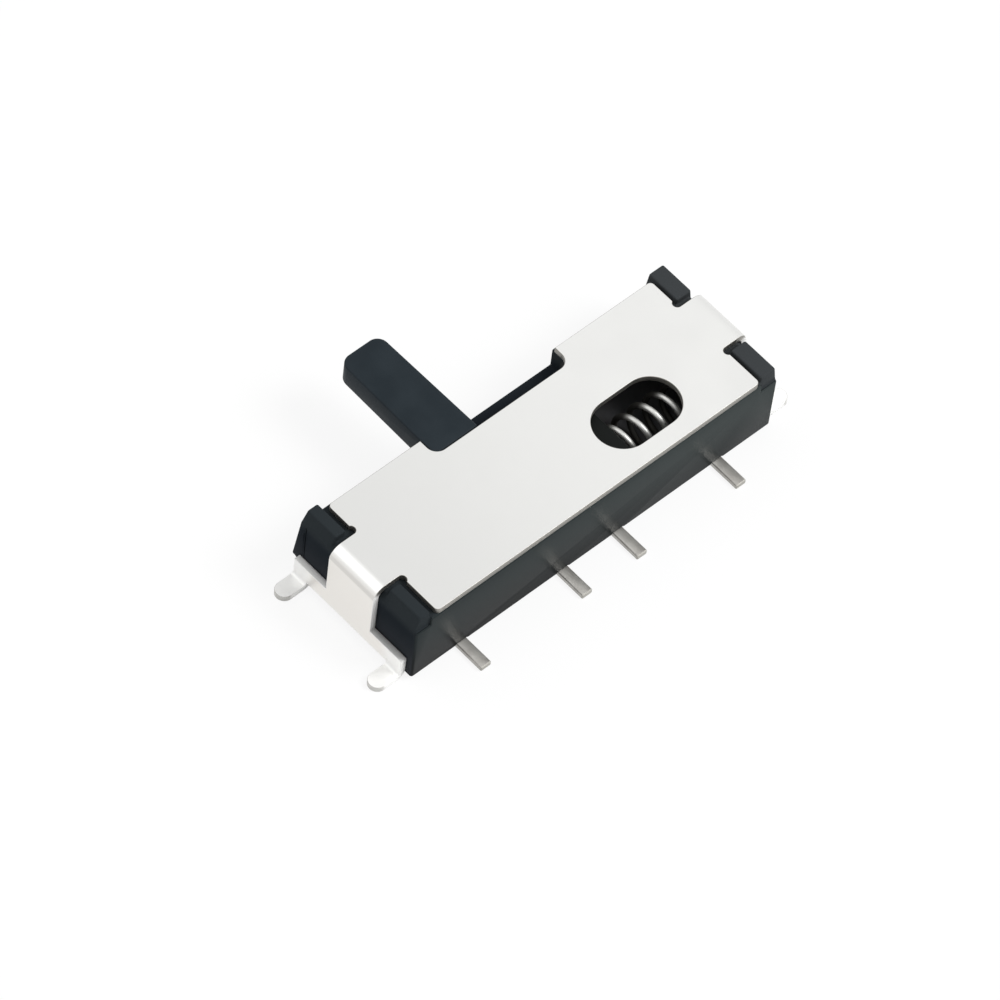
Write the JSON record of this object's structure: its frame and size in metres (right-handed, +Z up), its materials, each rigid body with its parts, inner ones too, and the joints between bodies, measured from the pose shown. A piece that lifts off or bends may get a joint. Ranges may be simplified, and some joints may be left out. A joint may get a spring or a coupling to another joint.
{
  "type": "slide switch",
  "caption": "Low momentary slide switch with a side lever in a notched opening, sheet-metal cover with a window over the return spring, solder feet and flat terminals.",
  "frame": {"origin": "centre of the housing's footprint, on the plane of the circuit board", "axes": "+X along the switch, the way the lever is pushed; +Y to the lever side, with the terminals on -Y; +Z up, away from the board"},
  "size_m": [0.0112, 0.0065, 0.002],
  "materials": {
    "housing": "black moulded heat-resistant plastic, lightly satin",
    "lever": "black moulded plastic, lightly satin",
    "tinned": "tin-plated strip, dull satin",
    "contact": "spring bronze, bare satin",
    "spring": "bright drawn spring wire",
    "cover": "bright plated sheet, soft satin"
  },
  "bodies": {
    "body": {"housing": "housing", "terminal_1": "tinned", "terminal_2": "tinned", "terminal_3": "tinned", "terminal_4": "tinned", "return_spring": "spring", "cover": "cover"},
    "slider": {"slider": "lever", "moving_contact": "contact"}
  },
  "joints": [
    {"name": "slider_slide", "type": "slide", "parent": "body", "child": "slider", "axis": [1, 0, 0], "range_m": [0, 0.0024], "stiffness_N_per_m": 400, "springref_m": -0.0015, "deforming": ["return_spring"]}
  ]
}
